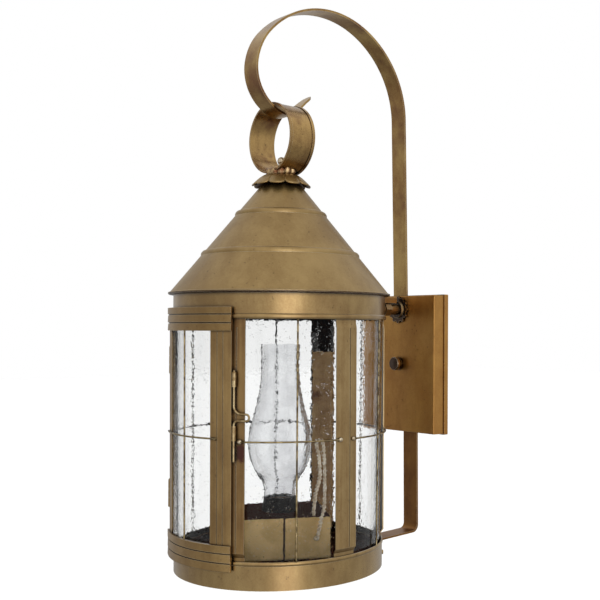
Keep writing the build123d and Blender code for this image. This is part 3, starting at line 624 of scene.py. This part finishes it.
def twisted_lead():
    """Two insulated strands twisted together, along the same turns as the CAD lead."""
    # mm from the axis: along the box's front, outwards from it, and the height
    turns = ((33.0, 40.0, -168.0), (33.1, 40.2, -154.0), (35.0, 42.4, -136.0),
             (38.9, 44.0, -117.7), (37.5, 46.0, -97.7), (34.1, 48.4, -82.0),
             (37.2, 51.0, -77.9), (41.0, 53.5, -82.0), (42.4, 55.6, -112.0),
             (42.2, 56.2, -144.9), (38.6, 55.8, -164.0), (35.3, 54.6, -180.5),
             (34.6, 51.8, -183.8), (34.5, 46.5, -184.0))
    knots = [axis + box_across * x / 1000 + box_outwards * y / 1000 + Vector((0, 0, z / 1000))
             for x, y, z in turns]
    route = smooth_route(knots, 16)
    points, faces = [], []
    size, pitch, strand, squeeze = 10, 0.0085, 0.00118, 0.95
    for start in (0.0, math.pi):
        first, run = len(points), 0.0
        for k, place in enumerate(route):
            ahead = (route[min(k + 1, len(route) - 1)] - route[max(k - 1, 0)]).normalized()
            run += (place - route[k - 1]).length if k else 0.0
            side = ahead.cross(box_across).normalized()
            other = ahead.cross(side)
            spin = start + 2 * math.pi * run / pitch
            centre = place + (side * math.cos(spin) + other * math.sin(spin)) * strand * squeeze
            for i in range(size):
                a = 2 * math.pi * i / size
                points.append(centre + (side * math.cos(a) + other * math.sin(a)) * strand)
        faces += capped_rings(len(route), size, first)
    add_piece("twisted_lead", points, faces, insulation, "lead", "lantern", "lamp_lead")


petal_collar()
solder_lumps()
ring_solder()
twisted_lead()


# ---------------------------------------------------------------- stage: floor, light, camera
def pale_floor():
    """Plain floor far below the lantern."""
    half, ground = 14.0, -0.75
    corners = [(-half, -half, ground), (half, -half, ground), (half, half, ground),
               (-half, half, ground)]
    mesh = bpy.data.meshes.new("floor")
    mesh.from_pydata(corners, [], [(0, 1, 2, 3)])
    floor = bpy.data.objects.new("floor", mesh)
    scene.collection.objects.link(floor)
    g = Surface("pale_floor")
    colour = g.mix(g.noise(3), (0.955, 0.955, 0.955), (0.965, 0.965, 0.965))
    mesh.materials.append(g.finish(Base_Color=colour, Roughness=0.9))
    floor.visible_glossy = False     # the metal and the panes mirror the studio, not the floor


def studio_world():
    """Backdrop that is all white to the camera.

    What the metal mirrors is a studio: bright in front, with an upright strip light, dimmer to
    the sides and below. Each kind of ray has its own strength, and there are no light objects.
    """
    toward_camera = Vector((0.81, -0.586, 0)).normalized()
    toward_right = Vector((0.586, 0.81, 0)).normalized()
    strip_azimuth = math.radians(63)
    seen, lighting, lighting_after_metal = 1.0, 1.16, 0.62
    through_glass, mirrored_glass, trapped_in_glass = 0.95, 0.8, 0.1

    world = bpy.data.worlds.new("studio")
    scene.world = world
    world.use_nodes = True
    g = Graph(world.node_tree)
    background = g.tree.nodes["Background"]
    light_path = g.tree.nodes.new("ShaderNodeLightPath").outputs
    way = g.coords.outputs["Generated"]
    height = g.part("Z", way)
    level = g.vector("NORMALIZE", g.vector("MULTIPLY", way, (1, 1, 0)))

    front = g.remap(g.vector("DOT_PRODUCT", way, tuple(toward_camera)), 0.15, 0.98)
    right = g.remap(g.vector("DOT_PRODUCT", way, tuple(toward_right)), 0.35, 0.95)
    above = g.remap(height, 0.2, 0.9)
    strip_way = (math.sin(strip_azimuth), -math.cos(strip_azimuth), 0.0)
    strip = g.calc("MULTIPLY", g.remap(g.vector("DOT_PRODUCT", level, strip_way), 0.955, 0.995),
                   g.remap(g.calc("ABSOLUTE", height), 0.75, 0.45))
    room = g.total((front, 0.34), (right, 0.10), (above, 0.28), (strip, 1.8), (1.0, 0.55))
    room = g.calc("MULTIPLY", room, g.remap(height, -0.55, -0.02, 0.6, 1.0))
    mirror_like = g.remap(light_path["Is Singular Ray"], 0.0, 1.0, 1.0, 0.1)
    room = g.calc("MULTIPLY", room, mirror_like)

    bounced = g.calc("GREATER_THAN", light_path["Glossy Depth"], 0.5)
    diffuse = g.choose(bounced, lighting, lighting_after_metal)
    # a ray that only bounced inside one pane sees little light, so no pane veils the inside
    left_the_pane = g.calc("GREATER_THAN", light_path["Transmission Depth"], 2.5)
    mirrored = g.choose(left_the_pane, trapped_in_glass, mirrored_glass)
    glass = g.choose(bounced, through_glass, mirrored)
    strength = g.choose(light_path["Is Diffuse Ray"], room, diffuse)
    strength = g.choose(light_path["Is Transmission Ray"], strength, glass)
    strength = g.choose(light_path["Is Camera Ray"], strength, seen)
    g.put(background.inputs["Strength"], strength)
    background.inputs["Color"].default_value = (1, 1, 1, 1)


def place_camera():
    """Camera at the height of the cage, in front and to the right, level but for a trace."""
    eye = Vector((0.9000, -0.8566, 0.0426))
    forward = Vector((-0.719, 0.6949, 0.0119)).normalized()
    nearly_up = Vector((0.0056, -0.0113, 0.9999))
    right = forward.cross(nearly_up).normalized()
    above = right.cross(forward)
    lens = bpy.data.cameras.new("view")
    lens.lens = 58.52
    lens.sensor_width = 36
    lens.shift_x = -0.20
    lens.shift_y = 0.03
    camera = bpy.data.objects.new("view", lens)
    columns = (right, above, -forward, eye)
    camera.matrix_world = Matrix([[column[row] for column in columns] for row in range(3)]
                                 + [(0, 0, 0, 1)])
    scene.collection.objects.link(camera)
    scene.camera = camera


pale_floor()
studio_world()
scene.view_settings.view_transform = "Standard"
place_camera()
